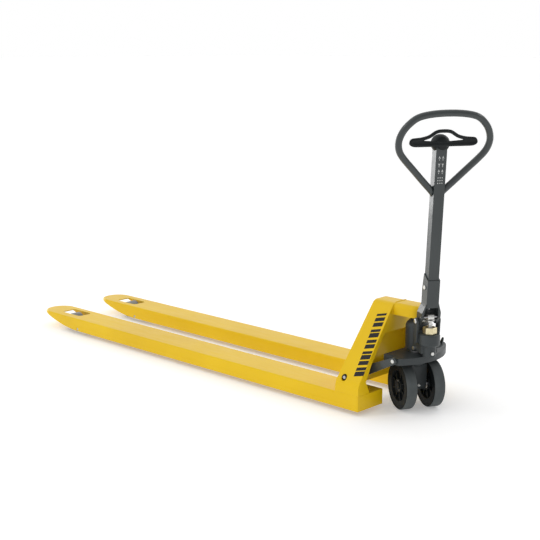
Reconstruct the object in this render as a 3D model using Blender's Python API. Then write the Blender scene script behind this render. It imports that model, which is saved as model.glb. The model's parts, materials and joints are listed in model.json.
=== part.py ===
"""Hand pallet jack with long forks, a lifting rocker, a steered hydraulic pump and a loop tiller.

Metres, +Z up. The floor is z = 0, the fork tips point along -X and the operator stands at +X.
Sizes are given from the steering axis, which stands at x = STEER_X, y = CENTRE_Y. Everything that turns with
the tiller is modelled in a frame turned by STEER_ANGLE: +X there points at the operator.
"""
import math

import bmesh
import bpy
from mathutils import Vector

# ---------------------------------------------------------------- overall layout
STEER_X, CENTRE_Y = 1.01148, 0.00246
STEER_ANGLE = math.radians(-28.5)
GAP = 0.0003                 # clearance between pieces that touch
SHEET = 0.0045               # pressed sheet of the frame
PLATE = 0.005                # thicker welded plate

# ---------------------------------------------------------------- forks
OUTER_Y = 0.27
FORK_WIDTH = 0.16
FORK_Y = OUTER_Y - FORK_WIDTH / 2
FORK_TOP = 0.085
SKIRT_BOTTOM = 0.020
FORK_TIP = -2.302
FORK_BEND = 0.007
HEEL_X = -0.090
RAMP_START, RAMP_LENGTH, RAMP_RISE = -1.97, 0.29, 0.058
SLOT_FROM, SLOT_TO, SLOT_WIDTH = -2.165, -2.015, 0.080
LEVER_OPENING = (-0.2115, -0.115)
LEVER_OPENING_Y = (0.150, 0.232)

# ---------------------------------------------------------------- bulkhead and ram bracket
BULKHEAD_FOOT = FORK_TOP + GAP
BULKHEAD_FRONT, BULKHEAD_SLOPE = -0.213, 0.056
CHEEK_KNEE_Z, CHEEK_LEAN = 0.126, 0.7213
BULKHEAD_TOP, BULKHEAD_SHOULDER = 0.438, 0.034
REAR_OPENING_TOP = 0.320
KNEE_R = 0.060
BRACKET_HALF, BRACKET_TOP, BRACKET_FOOT, BRACKET_SHOULDER = 0.050, 0.439, 0.390, 0.020

# ---------------------------------------------------------------- lifting rocker and rods
ROCKER_X, ROCKER_Z = -0.177, 0.146
YOKE_BOLT_X, YOKE_BOLT_Z = 0.0085, 0.2345
LIFT = 0.115
ARM_INNER, ARM_OUTER = 0.1645, 0.1745
ROCKER_R, ROCKER_PIN_R = 0.0165, 0.0075
ROCKER_BOSS_R, ROCKER_EYE_R, LEVER_EYE_R, BOLT_HOLE_R = 0.0230, 0.0145, 0.0100, 0.0063
SHAFT_SHOULDER, SHAFT_END, BUSH_R, BUSH_IN, BUSH_OUT = 0.2330, 0.2550, 0.0132, 0.2400, 0.2520
LEVER_R = 0.070
LEVER_INNER, LEVER_OUTER = 0.1765, 0.1835
LEVER_PIN_R, ROD_PIN_R = 0.005, 0.0045
ROD_Z, ROD_R, ROD_EYE_HALF = 0.0665, 0.007, 0.0055
ROD_EYE_R, ROD_EYE_BORE, ROD_TIP_R, ROD_TIP_BORE = 0.0120, 0.0083, 0.0115, 0.0075
ROD_CRANK = (-0.256, -0.210)

# ---------------------------------------------------------------- load arms and rollers
ARM_PIVOT_X, ARM_PIVOT_Z, ARM_PIN_R = -1.975, 0.030, 0.007
ROLLER_X, ROLLER_R, ROLLER_WIDTH, ROLLER_AXLE_R = -2.100, 0.041, 0.064, 0.006
ARM_PLATE_IN, ARM_PLATE_OUT = 0.0365, 0.0435

# ---------------------------------------------------------------- yoke
YOKE_LOW, YOKE_TOP, YOKE_WEB = 0.2173, 0.2453, 0.008
YOKE_APEX_X, YOKE_SHOULDER_X, YOKE_HALF = 0.089, 0.0286, 0.163
YOKE_LUG = 0.0205
YOKE_BACK_X, YOKE_HUB_R, STEM_R = -0.062, 0.042, 0.022

# ---------------------------------------------------------------- pump, in the steered frame
PISTON_X = 0.113
PUMP_R, PUMP_BASE, PUMP_SHOULDER, PUMP_TOP = 0.050, 0.2520, 0.354, 0.384
PLUNGER_R, PLUNGER_BORE, PLUNGER_HEAD_R = 0.0075, 0.0080, 0.0115
BARREL_R, BARREL_LOW, BARREL_TOP = 0.0420, 0.2960, 0.343
NECK_R, NECK_LOW = 0.0275, 0.2490
RAM_R, RAM_TOP = 0.0175, 0.4322
GLAND_LOW, GLAND_TOP, GLAND_FLATS, GLAND_BORE = 0.3433, 0.371, 0.0490, 0.0195
TILLER_X, TILLER_Z, TILLER_PIN_R = 0.089, 0.393, 0.007
LUG_IN, LUG_OUT, LUG_R = 0.0432, 0.0522, 0.0150
CHEEK_IN, CHEEK_OUT = 0.0312, 0.0417
SOCKET_BACK_X, SOCKET_HALF, SPREAD_LOW, SPREAD_HIGH = 0.0765, 0.0270, 0.431, 0.472
BLOCK_HALF = 0.036
FILLER, BLEED = (0.049, 0.270), (0.001, 0.266)
VALVE_X, VALVE_Z = 0.056, 0.278

# ---------------------------------------------------------------- steer wheels
WHEEL_R, WHEEL_WIDTH, WHEEL_LAT, WHEEL_AXLE_R = 0.100, 0.048, 0.0625, 0.010
TREAD, BEARING_R, CARRIER_TOP = 0.012, 0.0205, 0.190

# ---------------------------------------------------------------- tiller, in the steered frame
COLUMN_LEAN = 0.0710
COLUMN_FRONT_X, COLUMN_FRONT_Z = 0.129, 0.500
COLUMN_HALF, COLUMN_DEPTH, COLUMN_WALL = 0.023, 0.035, 0.0035
COLUMN_FOOT, COLUMN_TOP = 0.458, 1.110
LOOP_R = 0.014
LEVER_AXIS_Z, LEVER_HALF = 1.100, 0.144
CAM_X, CAM_Z, CAM_R, CAM_HALF = 0.1105, 0.4115, 0.0125, 0.0135
CROSS_PIN_R, LEVER_SPINDLE_R = 0.0040, 0.0045
LEVER_SPINDLE_AT = (COLUMN_FRONT_X + (LEVER_AXIS_Z - COLUMN_FRONT_Z) * COLUMN_LEAN
                    - COLUMN_DEPTH / 2, LEVER_AXIS_Z)

# ---------------------------------------------------------------- colours
YELLOW = ((0.80, 0.53, 0.015), 0.38, 0.0)
GREY = ((0.075, 0.083, 0.085), 0.45, 0.0)
BLACK = ((0.012, 0.014, 0.015), 0.50, 0.0)
TREAD_GREY = ((0.085, 0.095, 0.095), 0.75, 0.0)
STEEL = ((0.45, 0.45, 0.46), 0.32, 1.0)
ZINC = ((0.72, 0.72, 0.70), 0.35, 1.0)
BRASS = ((0.72, 0.60, 0.32), 0.32, 1.0)
NYLON = ((0.30, 0.30, 0.30), 0.60, 0.0)

ORIGINS = {}


# ================================================================ helpers
def clear_scene():
    for obj in list(bpy.data.objects):
        bpy.data.objects.remove(obj, do_unlink=True)


def material(name, look):
    colour, roughness, metallic = look
    mat = bpy.data.materials.new(name)
    mat.use_nodes = True
    shader = mat.node_tree.nodes["Principled BSDF"]
    shader.inputs["Base Color"].default_value = (*colour, 1.0)
    shader.inputs["Roughness"].default_value = roughness
    shader.inputs["Metallic"].default_value = metallic
    mat.diffuse_color = (*colour, 1.0)
    return mat


def pivot(name, parent, point, turn=0.0):
    """An empty at a point of its frame; children placed on it share that point as their origin."""
    empty = bpy.data.objects.new(name, None)
    bpy.context.scene.collection.objects.link(empty)
    ORIGINS[empty] = Vector(point)
    if parent is not None:
        empty.parent = parent
        empty.location = Vector(point) - ORIGINS[parent]
    else:
        empty.location = point
    empty.rotation_euler = (0.0, 0.0, turn)
    return empty


def link_mesh(name, bm, on):
    bmesh.ops.recalc_face_normals(bm, faces=bm.faces)
    bmesh.ops.translate(bm, verts=bm.verts, vec=-ORIGINS[on])
    mesh = bpy.data.meshes.new(name)
    bm.to_mesh(mesh)
    bm.free()
    obj = bpy.data.objects.new(name, mesh)
    bpy.context.scene.collection.objects.link(obj)
    obj.parent = on
    return obj


def add(name, bm, look, on):
    """A visible sub-part with its own material, parented to the pivot that carries it."""
    obj = link_mesh(name, bm, on)
    obj.data.shade_smooth()
    obj.data.set_sharp_from_angle(angle=math.radians(32))
    obj.data.materials.append(material(name, look))
    return obj


def combine(obj, bm, operation):
    tool = link_mesh(f"{obj.name}_{operation.lower()}_{len(obj.modifiers)}", bm, obj.parent)
    tool.hide_render = True
    tool.display_type = 'WIRE'
    step = obj.modifiers.new(tool.name, 'BOOLEAN')
    step.operation = operation
    step.solver = 'EXACT'
    step.object = tool


def cut(obj, *tools):
    for bm in tools:
        combine(obj, bm, 'DIFFERENCE')


def join(obj, *tools):
    for bm in tools:
        combine(obj, bm, 'UNION')


def loft(rings, closed=False):
    """Skin equal rings of points; ends are capped unless the last ring joins the first."""
    bm = bmesh.new()
    loops = [[bm.verts.new(p) for p in ring] for ring in rings]
    pairs = list(zip(loops, loops[1:]))
    if closed:
        pairs.append((loops[-1], loops[0]))
    for low, high in pairs:
        for i in range(len(low)):
            bm.faces.new((low[i - 1], low[i], high[i], high[i - 1]))
    if not closed:
        bm.faces.new(loops[0][::-1])
        bm.faces.new(loops[-1])
    return bm


def on_axis(axis, u, v, along):
    """A point from its two coordinates across an axis and the one along it."""
    if axis == 'X':
        return (along, u, v)
    if axis == 'Y':
        return (u, along, v)
    return (u, v, along)


def prism(outline, axis, low, high):
    """An outline extruded along an axis: (y, z) for X, (x, z) for Y and (x, y) for Z."""
    return loft([[on_axis(axis, u, v, w) for u, v in outline] for w in (low, high)])


def box(low, high):
    (x0, y0, z0), (x1, y1, z1) = low, high
    return prism([(x0, y0), (x1, y0), (x1, y1), (x0, y1)], 'Z', z0, z1)


def circle(centre, radius, sides=24, start=0.0, sweep=2 * math.pi):
    whole = abs(sweep - 2 * math.pi) < 1e-9
    count = sides if whole else sides + 1
    return [(centre[0] + radius * math.cos(start + sweep * i / sides),
             centre[1] + radius * math.sin(start + sweep * i / sides)) for i in range(count)]


def turned(profile, axis, centre, sides=24):
    """A solid of revolution from (radius, along) pairs, centred across its axis."""
    return loft([[on_axis(axis, u, v, along) for u, v in circle(centre, radius, sides)]
                 for radius, along in profile])


def ring_of(profile, axis, centre, sides=24):
    """A hollow solid of revolution from a closed loop of (radius, along) pairs."""
    rings = []
    for i in range(sides):
        angle = 2 * math.pi * i / sides
        rings.append([on_axis(axis, centre[0] + radius * math.cos(angle),
                              centre[1] + radius * math.sin(angle), along)
                      for radius, along in profile])
    return loft(rings, closed=True)


def rod(radius, axis, centre, low, high, chamfer=0.0, sides=24):
    if not chamfer:
        return turned([(radius, low), (radius, high)], axis, centre, sides)
    small = radius - chamfer
    return turned([(small, low), (radius, low + chamfer), (radius, high - chamfer),
                   (small, high)], axis, centre, sides)


def washer(inner, outer, axis, centre, low, high, sides=24):
    return ring_of([(inner, low), (outer, low), (outer, high), (inner, high)],
                   axis, centre, sides)


def hull(*circles):
    """The outline around circles given as (u, v, radius), as a plate cut to shape."""
    points = [p for u, v, r in circles for p in circle((u, v), r, 14)]
    points = sorted(set((round(u, 6), round(v, 6)) for u, v in points))

    def half(ordered):
        chain = []
        for p in ordered:
            while len(chain) > 1:
                (ax, ay), (bx, by) = chain[-2], chain[-1]
                if (bx - ax) * (p[1] - ay) - (by - ay) * (p[0] - ax) > 0:
                    break
                chain.pop()
            chain.append(p)
        return chain[:-1]
    return half(points) + half(points[::-1])


def smooth(points, steps, closed=False):
    """A Catmull-Rom curve through the points."""
    points = [Vector(p) for p in points]
    count = len(points)
    out = []
    for i in range(count if closed else count - 1):
        if closed:
            p0, p1, p2, p3 = (points[(i + k) % count] for k in (-1, 0, 1, 2))
        else:
            p0, p1 = points[max(i - 1, 0)], points[i]
            p2, p3 = points[i + 1], points[min(i + 2, count - 1)]
        for k in range(steps):
            t = k / steps
            out.append(0.5 * (2 * p1 + (p2 - p0) * t + (2 * p0 - 5 * p1 + 4 * p2 - p3) * t ** 2
                              + (3 * p1 - p0 - 3 * p2 + p3) * t ** 3))
    if not closed:
        out.append(points[-1])
    return out


def tube(path, radius, up, sides=12, closed=False):
    """A round section swept along a path; up is a direction that the path never runs along."""
    count = len(path)
    rings = []
    for i, p in enumerate(path):
        ahead = path[(i + 1) % count] if closed else path[min(i + 1, count - 1)]
        behind = path[i - 1] if closed or i else path[0]
        along = (ahead - behind).normalized()
        side = along.cross(Vector(up)).normalized()
        top = side.cross(along)
        rings.append([p + radius * (math.cos(a) * side + math.sin(a) * top)
                      for a in (2 * math.pi * k / sides for k in range(sides))])
    return loft(rings, closed=closed)


# ================================================================ derived geometry
ROCKER_LENGTH = math.hypot(YOKE_BOLT_X - ROCKER_X, YOKE_BOLT_Z - ROCKER_Z)
ROCKER_START = math.asin((YOKE_BOLT_Z - ROCKER_Z) / ROCKER_LENGTH)
ROCKER_RANGE = ROCKER_START - math.asin((YOKE_BOLT_Z - ROCKER_Z - LIFT) / ROCKER_LENGTH)
ROD_STROKE = 2 * LEVER_R * math.sin(ROCKER_RANGE / 2)
LEVER_PIN = (ROCKER_X + ROD_STROKE / 2, ROCKER_Z - LEVER_R * math.cos(ROCKER_RANGE / 2))
ARM_LENGTH = math.hypot(ROLLER_X - ARM_PIVOT_X, ROLLER_R - ARM_PIVOT_Z)
ARM_START = math.asin((ROLLER_R - ARM_PIVOT_Z) / ARM_LENGTH)
ARM_RANGE = ARM_START - math.asin((ROLLER_R - ARM_PIVOT_Z - LIFT) / ARM_LENGTH)
ARM_CRANK = ROD_STROKE / 2 / math.sin(ARM_RANGE / 2)
ROD_PIN = (ARM_PIVOT_X + ROD_STROKE / 2, ARM_PIVOT_Z + ARM_CRANK * math.cos(ARM_RANGE / 2))


def bulkhead_front(z):
    return BULKHEAD_FRONT + BULKHEAD_SLOPE * (z - BULKHEAD_FOOT)


def cheek(z):
    """Outer half-width of the bulkhead at a height."""
    return OUTER_Y - CHEEK_LEAN * max(0.0, z - CHEEK_KNEE_Z)


def column_front(z):
    return COLUMN_FRONT_X + (z - COLUMN_FRONT_Z) * COLUMN_LEAN


# ================================================================ frame
def fork_plan(centre_y, half, tip, rear):
    """Plan of a fork: square at the heel and half round at the tip."""
    nose = circle((tip + half, centre_y), half, 24, math.pi / 2, math.pi)
    return [(rear, centre_y + half)] + nose + [(rear, centre_y - half)]


def fork_ramp():
    """Side view of what is cut away under the fork tip."""
    steps = 10
    edge = [(RAMP_START - RAMP_LENGTH * i / steps,
             SKIRT_BOTTOM + RAMP_RISE * (i / steps) ** 2) for i in range(steps + 1)]
    return edge + [(FORK_TIP - 0.05, SKIRT_BOTTOM + RAMP_RISE),
                   (FORK_TIP - 0.05, -0.02), (RAMP_START, -0.02)]


def slot_plan(centre_y):
    half, corner = SLOT_WIDTH / 2, 0.018
    corners = [(SLOT_TO - corner, half - corner, 0), (SLOT_FROM + corner, half - corner, 90),
               (SLOT_FROM + corner, corner - half, 180), (SLOT_TO - corner, corner - half, 270)]
    return [p for x, y, start in corners
            for p in circle((x, centre_y + y), corner, 4, math.radians(start), math.pi / 2)]


def make_fork(name, side, frame):
    y, half, rear = side * FORK_Y, FORK_WIDTH / 2, HEEL_X - PLATE - GAP
    rings = [[(x, v, SKIRT_BOTTOM) for x, v in fork_plan(y, half, FORK_TIP, rear)]]
    for i in range(4):
        angle = math.pi / 2 * i / 3
        inset = FORK_BEND * (1 - math.cos(angle))
        z = FORK_TOP - FORK_BEND * (1 - math.sin(angle))
        rings.append([(x, v, z) for x, v in fork_plan(y, half - inset, FORK_TIP + inset, rear)])
    fork = add(name, loft(rings), YELLOW, frame)
    join(fork, box((BULKHEAD_FRONT, y - half, SKIRT_BOTTOM), (rear, y + half, FORK_TOP)))
    inside = fork_plan(y, half - SHEET, FORK_TIP + SHEET, rear + 0.02)
    cut(fork,
        prism(inside, 'Z', -0.01, FORK_TOP - SHEET),
        prism(fork_ramp(), 'Y', y - half - 0.01, y + half + 0.01),
        prism(slot_plan(y - side * 0.005), 'Z', FORK_TOP - 0.03, FORK_TOP + 0.01),
        box((LEVER_OPENING[0], min(side * v for v in LEVER_OPENING_Y), FORK_TOP - 0.02),
            (LEVER_OPENING[1], max(side * v for v in LEVER_OPENING_Y), FORK_TOP + 0.01)),
        rod(ARM_PIN_R + GAP, 'Y', (ARM_PIVOT_X, ARM_PIVOT_Z), y - half - 0.01, y + half + 0.01))
    return fork


def bulkhead_outline(inset):
    """Rear view of the bulkhead shell, set in by a wall thickness; open at the foot if set in."""
    slant = math.hypot(1.0, CHEEK_LEAN)
    foot = BULKHEAD_FOOT - (0.02 if inset else 0.0)
    centre_z = BULKHEAD_TOP - BULKHEAD_SHOULDER
    centre_y = cheek(centre_z) - BULKHEAD_SHOULDER * slant
    tilt = math.atan(CHEEK_LEAN)
    tangent = KNEE_R * math.tan(tilt / 2)
    knee_at = (OUTER_Y - KNEE_R, CHEEK_KNEE_Z - tangent)
    knee = circle(knee_at, KNEE_R - inset, 6, 0.0, tilt)
    shoulder = circle((centre_y, centre_z), BULKHEAD_SHOULDER - inset, 6,
                      tilt, math.pi / 2 - tilt)
    right = [(OUTER_Y - inset, foot)] + knee + shoulder
    return right + [(-y, z) for y, z in right[::-1]]


def rear_opening():
    """The opening between the rear flanges, which narrow towards the top."""
    right = [(0.196, BULKHEAD_FOOT - 0.02), (0.196, BULKHEAD_FOOT), (0.2175, 0.130),
             (0.2200, 0.136), (cheek(0.200) - 0.0290, 0.200),
             (cheek(REAR_OPENING_TOP) - 0.0265, REAR_OPENING_TOP)]
    return right + [(-y, z) for y, z in right[::-1]]


def sloped_prism(outline, front_offset, rear):
    """A rear-view outline run from the sloping front face back to a rear plane."""
    front = [(bulkhead_front(z) + front_offset, y, z) for y, z in outline]
    back = [(rear, y, z) for y, z in outline]
    return loft([front, back])


def make_bulkhead(frame):
    bulkhead = add("bulkhead", sloped_prism(bulkhead_outline(0.0), 0.0, HEEL_X), YELLOW, frame)
    cut(bulkhead,
        sloped_prism(bulkhead_outline(PLATE), PLATE, HEEL_X - PLATE),
        prism(rear_opening(), 'X', HEEL_X - PLATE - 0.01, HEEL_X + 0.01))
    for side in (-1, 1):
        ends = sorted((side * 0.20, side * 0.30))
        cut(bulkhead, rod(BUSH_R + GAP, 'Y', (ROCKER_X, ROCKER_Z), *ends))
    return bulkhead


def bracket_ring(inset, z, rear):
    half = BRACKET_HALF - inset
    return ([(rear, -half, z)]
            + [(u, v, z) for u, v in circle((0, 0), half, 16, -math.pi / 2, math.pi)]
            + [(rear, half, z)])


def bracket_shell(inset, rear, foot):
    rings = [bracket_ring(inset, foot, rear)]
    for i in range(6):
        angle = math.pi / 2 * i / 5
        radius = BRACKET_SHOULDER - inset
        rings.append(bracket_ring(inset + radius * (1 - math.cos(angle)),
                                  BRACKET_TOP - inset - radius * (1 - math.sin(angle)), rear))
    return loft(rings)


def make_ram_bracket(frame):
    """The hooded nose that the pump's ram lifts, with the ram seat under its crown."""
    rear = HEEL_X + GAP
    bracket = add("ram_bracket", bracket_shell(0.0, rear, BRACKET_FOOT), YELLOW, frame)
    cut(bracket, bracket_shell(PLATE, rear - 0.02, BRACKET_FOOT - 0.02))
    return bracket


def make_heel_plate(name, side, frame):
    low = (HEEL_X - PLATE, min(side * (OUTER_Y - FORK_WIDTH), side * OUTER_Y), SKIRT_BOTTOM)
    high = (HEEL_X, max(side * (OUTER_Y - FORK_WIDTH), side * OUTER_Y), FORK_TOP - GAP)
    return add(name, box(low, high), YELLOW, frame)


def make_frame(frame):
    make_bulkhead(frame)
    make_ram_bracket(frame)
    for side, word in ((-1, "left"), (1, "right")):
        make_fork(f"fork_{word}", side, frame)
        make_heel_plate(f"heel_plate_{word}", side, frame)
        ends = sorted((side * BUSH_IN, side * BUSH_OUT))
        add(f"shaft_bush_{word}",
            washer(ROCKER_PIN_R + GAP, BUSH_R, 'Y', (ROCKER_X, ROCKER_Z), *ends), BLACK, frame)
        y, reach = side * FORK_Y, FORK_WIDTH / 2 - 0.0005
        add(f"arm_pin_{word}", rod(ARM_PIN_R, 'Y', (ARM_PIVOT_X, ARM_PIVOT_Z),
                                   y - reach, y + reach, 0.001, 20), STEEL, frame)


# ================================================================ rocker, rods and load arms
def make_rocker(rocker):
    centre = (ROCKER_X, ROCKER_Z)
    half = [(ROCKER_R, SHAFT_SHOULDER), (ROCKER_PIN_R, SHAFT_SHOULDER + 0.001),
            (ROCKER_PIN_R, SHAFT_END - 0.001), (ROCKER_PIN_R - 0.001, SHAFT_END)]
    profile = [(r, -along) for r, along in half[::-1]] + half
    add("rocker_shaft", turned(profile, 'Y', centre, 20), STEEL, rocker)
    for side, word in ((-1, "left"), (1, "right")):
        low, high = sorted((side * ARM_INNER, side * ARM_OUTER))
        arm = add(f"rocker_arm_{word}",
                  prism(hull((*centre, ROCKER_BOSS_R), (YOKE_BOLT_X, YOKE_BOLT_Z, ROCKER_EYE_R)),
                        'Y', low, high), GREY, rocker)
        cut(arm, rod(ROCKER_R + GAP, 'Y', centre, low - 0.01, high + 0.01),
            rod(BOLT_HOLE_R, 'Y', (YOKE_BOLT_X, YOKE_BOLT_Z), low - 0.01, high + 0.01))
        low, high = sorted((side * LEVER_INNER, side * LEVER_OUTER))
        lever = add(f"rod_lever_{word}",
                    prism(hull((*centre, ROCKER_BOSS_R), (*LEVER_PIN, LEVER_EYE_R)), 'Y', low, high),
                    GREY, rocker)
        cut(lever, rod(ROCKER_R + GAP, 'Y', centre, low - 0.01, high + 0.01),
            rod(LEVER_PIN_R + GAP, 'Y', LEVER_PIN, low - 0.01, high + 0.01))
        low, high = sorted((side * (LEVER_INNER - 0.0005), side * 0.1990))
        add(f"lever_pin_{word}", rod(LEVER_PIN_R, 'Y', LEVER_PIN, low, high, 0.0008, 16),
            STEEL, rocker)


def make_push_rod(name, side, slide):
    """A long rod with a cranked eye on the rocker lever and a plain eye on the load arm."""
    y = side * FORK_Y
    eye_x, eye_z = LEVER_PIN[0], LEVER_PIN[1] - 0.0014
    tip_x, tip_z = ROD_PIN[0], ROD_PIN[1] + 0.0027
    low, high = y - ROD_EYE_HALF, y + ROD_EYE_HALF
    bar = add(name, rod(ROD_R, 'X', (y, ROD_Z), tip_x + 0.006, -0.235, 0.0, 12), STEEL, slide)
    join(bar,
         rod(ROD_EYE_R, 'Y', (eye_x, eye_z), low, high),
         prism(hull((eye_x, eye_z - 0.0050, 0.0065), (ROD_CRANK[1] - 0.002, ROD_Z, 0.0060)),
               'Y', low + GAP, high - GAP),
         box((ROD_CRANK[0], low, ROD_Z - 0.0055), (ROD_CRANK[1], high, ROD_Z + 0.0055)),
         prism(hull((tip_x, tip_z, ROD_TIP_R), (tip_x + 0.030, ROD_Z, 0.0060)), 'Y', low, high))
    cut(bar, rod(ROD_EYE_BORE, 'Y', (eye_x, eye_z), low - 0.01, high + 0.01),
        rod(ROD_TIP_BORE, 'Y', (tip_x, tip_z), low - 0.01, high + 0.01))


def make_load_arm(word, side, arm, roller):
    y = side * FORK_Y
    pivot_at, axle_at = (ARM_PIVOT_X, ARM_PIVOT_Z), (ROLLER_X, ROLLER_R)
    outline = hull((*pivot_at, 0.0125), (*axle_at, 0.0130), (*ROD_PIN, 0.0088))
    plates = [prism(outline, 'Y', y + s * ARM_PLATE_IN, y + s * ARM_PLATE_OUT) for s in (-1, 1)]
    body = add(f"load_arm_{word}", plates[0], GREY, arm)
    join(body, plates[1], rod(0.0110, 'Y', pivot_at, y - 0.040, y + 0.040, 0.0, 20))
    cut(body, rod(ARM_PIN_R + GAP, 'Y', pivot_at, y - 0.06, y + 0.06),
        rod(ROLLER_AXLE_R + GAP, 'Y', axle_at, y - 0.06, y + 0.06),
        rod(ROD_PIN_R + GAP, 'Y', ROD_PIN, y - 0.06, y + 0.06))
    add(f"rod_pin_{word}", rod(ROD_PIN_R, 'Y', ROD_PIN, y - 0.0445, y + 0.0445, 0.0008, 16),
        STEEL, arm)
    add(f"roller_axle_{word}", rod(ROLLER_AXLE_R, 'Y', axle_at, y - 0.0455, y + 0.0455,
                                   0.001, 16), STEEL, arm)
    half, edge, bore = ROLLER_WIDTH / 2, 0.003, ROLLER_AXLE_R + GAP
    profile = [(bore, -half), (0.016, -half), (0.020, -half + 0.003), (0.030, -half + 0.003),
               (0.034, -half), (ROLLER_R - edge, -half), (ROLLER_R, -half + edge)]
    profile = [(r, y + w) for r, w in profile] + [(r, y - w) for r, w in profile[::-1]]
    add(f"load_roller_{word}", ring_of(profile, 'Y', axle_at, 32), NYLON, roller)


# ================================================================ yoke
def yoke_outline():
    """Plan of the yoke: a crescent with a lug at each end, inside its rocker arm."""
    depth = YOKE_APEX_X - YOKE_SHOULDER_X
    radius = (depth ** 2 + YOKE_HALF ** 2) / (2 * depth)
    sweep = math.asin(YOKE_HALF / radius)
    arc = circle((YOKE_APEX_X - radius, 0), radius, 24, -sweep, 2 * sweep)
    lug_in, lug_end = YOKE_HALF - YOKE_LUG, YOKE_BOLT_X - 0.016
    near = [(YOKE_BACK_X, -lug_in), (lug_end, -lug_in), (lug_end, -YOKE_HALF)]
    far = [(x, -y) for x, y in near[::-1]]
    return near + arc + far


def yoke_pocket():
    """The space under the yoke's web, inside its rim."""
    depth = YOKE_APEX_X - YOKE_SHOULDER_X
    radius = (depth ** 2 + YOKE_HALF ** 2) / (2 * depth)
    inner = radius - 0.008
    half = YOKE_HALF - YOKE_LUG - 0.006
    sweep = math.asin(half / inner)
    arc = circle((YOKE_APEX_X - radius, 0), inner, 20, -sweep, 2 * sweep)
    return [(YOKE_BACK_X - 0.01, -half)] + arc + [(YOKE_BACK_X - 0.01, half)]


def make_yoke(yoke):
    plate = add("yoke_plate", prism(yoke_outline(), 'Z', YOKE_LOW, YOKE_TOP), GREY, yoke)
    cut(plate, prism(yoke_pocket(), 'Z', YOKE_LOW - 0.01, YOKE_TOP - YOKE_WEB))
    join(plate, rod(YOKE_HUB_R, 'Z', (0, 0), YOKE_LOW, YOKE_TOP - 0.001, 0.0, 32))
    cut(plate, rod(STEM_R + GAP, 'Z', (0, 0), YOKE_LOW - 0.01, YOKE_TOP + 0.01, 0.0, 32))
    at = (YOKE_BOLT_X, YOKE_BOLT_Z)
    for side, word in ((-1, "left"), (1, "right")):
        low, high = sorted((side * (YOKE_HALF - 0.017), side * (YOKE_HALF + 0.01)))
        cut(plate, rod(BOLT_HOLE_R, 'Y', at, low, high))
        seat = ARM_OUTER + GAP
        profile = [(0.0060, side * (YOKE_HALF - 0.0165)), (0.0060, side * seat),
                   (0.0080, side * seat), (0.0080, side * (seat + 0.0035)),
                   (0.0050, side * (seat + 0.0052))]
        add(f"yoke_bolt_{word}", turned(profile, 'Y', at, 20), ZINC, yoke)
    add("thrust_bearing", washer(STEM_R + 0.002, 0.040, 'Z', (0, 0), YOKE_TOP + GAP,
                                 PUMP_BASE - GAP, 28), STEEL, yoke)


# ================================================================ pump and steer wheels
def make_pump_body(steer):
    shoulders = [(PUMP_R - 0.003, PUMP_BASE), (PUMP_R, PUMP_BASE + 0.003),
                 (PUMP_R, PUMP_SHOULDER), (PUMP_R - 0.004, PUMP_SHOULDER + 0.010),
                 (0.032, PUMP_TOP - 0.006), (0.028, PUMP_TOP)]
    body = add("pump_body", turned(shoulders, 'Z', (0, 0), 28), GREY, steer)
    barrel = [(NECK_R - 0.002, NECK_LOW), (NECK_R, NECK_LOW + 0.002), (NECK_R, BARREL_LOW - 0.002),
              (BARREL_R - 0.004, BARREL_LOW), (BARREL_R, BARREL_LOW + 0.004),
              (BARREL_R, BARREL_TOP - 0.004), (BARREL_R - 0.004, BARREL_TOP)]
    join(body,
         turned(barrel, 'Z', (PISTON_X, 0), 28),
         box((0.0, -BLOCK_HALF, NECK_LOW + 0.012), (PISTON_X, BLOCK_HALF, BARREL_TOP - 0.002)))
    join(body, rod(0.014, 'Y', (VALVE_X, VALVE_Z), 0.020, 0.0765, 0.002, 20))
    for s in (-1, 1):
        low, high = sorted((s * LUG_IN, s * LUG_OUT))
        lug = hull((TILLER_X, TILLER_Z, LUG_R), (TILLER_X - 0.004, 0.312, 0.013))
        foot_low, foot_high = sorted((s * 0.020, s * (LUG_IN + 0.001)))
        join(body, prism(lug, 'Y', low, high),
             box((TILLER_X - 0.016, foot_low, 0.304), (TILLER_X + 0.008, foot_high, 0.336)))
    cut(body,
        rod(RAM_R + GAP, 'Z', (0, 0), 0.290, PUMP_TOP + 0.01),
        rod(PLUNGER_BORE, 'Z', (PISTON_X, 0), PUMP_BASE, BARREL_TOP + 0.01),
        rod(TILLER_PIN_R + GAP, 'Y', (TILLER_X, TILLER_Z), -0.07, 0.07),
        rod(0.0045, 'Y', FILLER, -0.07, -0.020, 0.0, 12),
        rod(0.0085, 'X', BLEED, PISTON_X + 0.0205, PISTON_X + 0.04, 0.0, 16),
        rod(0.0043, 'Y', (VALVE_X, VALVE_Z), 0.058, 0.09, 0.0, 16))


def make_gland(steer):
    hexagon = circle((PISTON_X, 0), GLAND_FLATS / math.sqrt(3), 6, 0.0)
    small = circle((PISTON_X, 0), GLAND_FLATS / math.sqrt(3) - 0.0025, 6, 0.0)
    rings = [[(x, y, z) for x, y in ring] for ring, z in
             ((small, GLAND_LOW), (hexagon, GLAND_LOW + 0.002), (hexagon, GLAND_TOP - 0.002),
              (small, GLAND_TOP))]
    gland = add("gland_nut", loft(rings), BRASS, steer)
    cut(gland, rod(GLAND_BORE, 'Z', (PISTON_X, 0), GLAND_LOW + 0.008, GLAND_TOP + 0.01),
        rod(PLUNGER_BORE, 'Z', (PISTON_X, 0), GLAND_LOW - 0.01, GLAND_TOP))


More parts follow.
